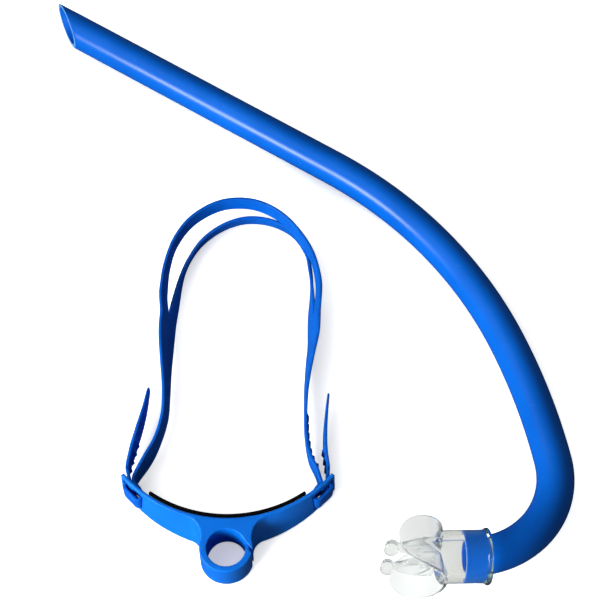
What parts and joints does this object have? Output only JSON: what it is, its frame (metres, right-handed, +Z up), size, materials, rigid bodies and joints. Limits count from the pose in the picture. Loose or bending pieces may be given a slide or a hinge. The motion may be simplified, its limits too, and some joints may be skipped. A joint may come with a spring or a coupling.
{
  "type": "front-mount swimming snorkel",
  "caption": "Bent breathing tube with a slanted top end and soft mouthpiece, beside its curved head bracket with a split clamp ring, foam pad and double strap.",
  "frame": {"origin": "middle of the footprint on the table the object lies on", "axes": "+Z up from the table, +X from the slanted end towards the mouthpiece bend, +Y from the mouthpiece towards the slanted end"},
  "size_m": [0.3256, 0.4242, 0.0572],
  "materials": {
    "snorkel_tube": "gloss",
    "mouthpiece": "clear silicone",
    "head_bracket": "semi-gloss moulded",
    "ring_jaw": "semi-gloss moulded",
    "forehead_foam_pad": "matte foam",
    "pad_adhesive_film": "satin",
    "strap_rear_loop": "satin silicone",
    "strap_upper_band": "satin silicone",
    "strap_end_left": "satin silicone",
    "strap_end_right": "satin silicone",
    "strap_tail_left": "satin silicone",
    "strap_tail_right": "satin silicone"
  },
  "bodies": {
    "tube": {"snorkel_tube": "snorkel_tube"},
    "mouthpiece_body": {"mouthpiece": "mouthpiece"},
    "bracket": {"head_bracket": "head_bracket", "forehead_foam_pad": "forehead_foam_pad", "pad_adhesive_film": "pad_adhesive_film", "strap_end_left": "strap_end_left", "strap_end_right": "strap_end_right"},
    "jaw": {"ring_jaw": "ring_jaw"},
    "strap_loop": {"strap_rear_loop": "strap_rear_loop"},
    "upper_band": {"strap_upper_band": "strap_upper_band"},
    "tail_left": {"strap_tail_left": "strap_tail_left"},
    "tail_right": {"strap_tail_right": "strap_tail_right"}
  },
  "joints": [
    {"name": "mouthpiece_swivel", "type": "hinge", "parent": "tube", "child": "mouthpiece_body", "pos_m": [0.09565, -0.19414, 0.02679], "axis": [0.9978, 0.0329, -0.0569], "continuous": true, "stiffness_Nm_per_rad": 0.5},
    {"name": "bracket_slide", "type": "slide", "parent": "tube", "child": "bracket", "axis": [0, 0, 1], "range_m": [0, 0.06]},
    {"name": "ring_clamp_flex", "type": "hinge", "parent": "bracket", "child": "jaw", "pos_m": [-0.05244, -0.18806, 0], "axis": [0, 0, -1], "range_deg": [0, 8], "stiffness_Nm_per_rad": 1},
    {"name": "strap_adjust", "type": "slide", "parent": "bracket", "child": "strap_loop", "axis": [0, -1, 0], "range_m": [-0.0112, 0.0224], "stiffness_N_per_m": 30, "deforming": ["strap_end_left", "strap_end_right"]},
    {"name": "tail_left_slide", "type": "slide", "parent": "bracket", "child": "tail_left", "axis": [0.161, 0.987, 0], "range_m": [-0.0112, 0.0224]},
    {"name": "tail_right_slide", "type": "slide", "parent": "bracket", "child": "tail_right", "axis": [0.045, 0.999, 0], "range_m": [-0.0112, 0.0224]},
    {"name": "band_spread", "type": "hinge", "parent": "strap_loop", "child": "upper_band", "pos_m": [-0.03838, -0.0299, 0.0214], "axis": [1, 0, 0], "range_deg": [0, 25], "stiffness_Nm_per_rad": 0.05}
  ],
  "couplings": [
    {"joint": "tail_left_slide", "follows": "strap_adjust", "ratio": 1},
    {"joint": "tail_right_slide", "follows": "strap_adjust", "ratio": 1}
  ]
}
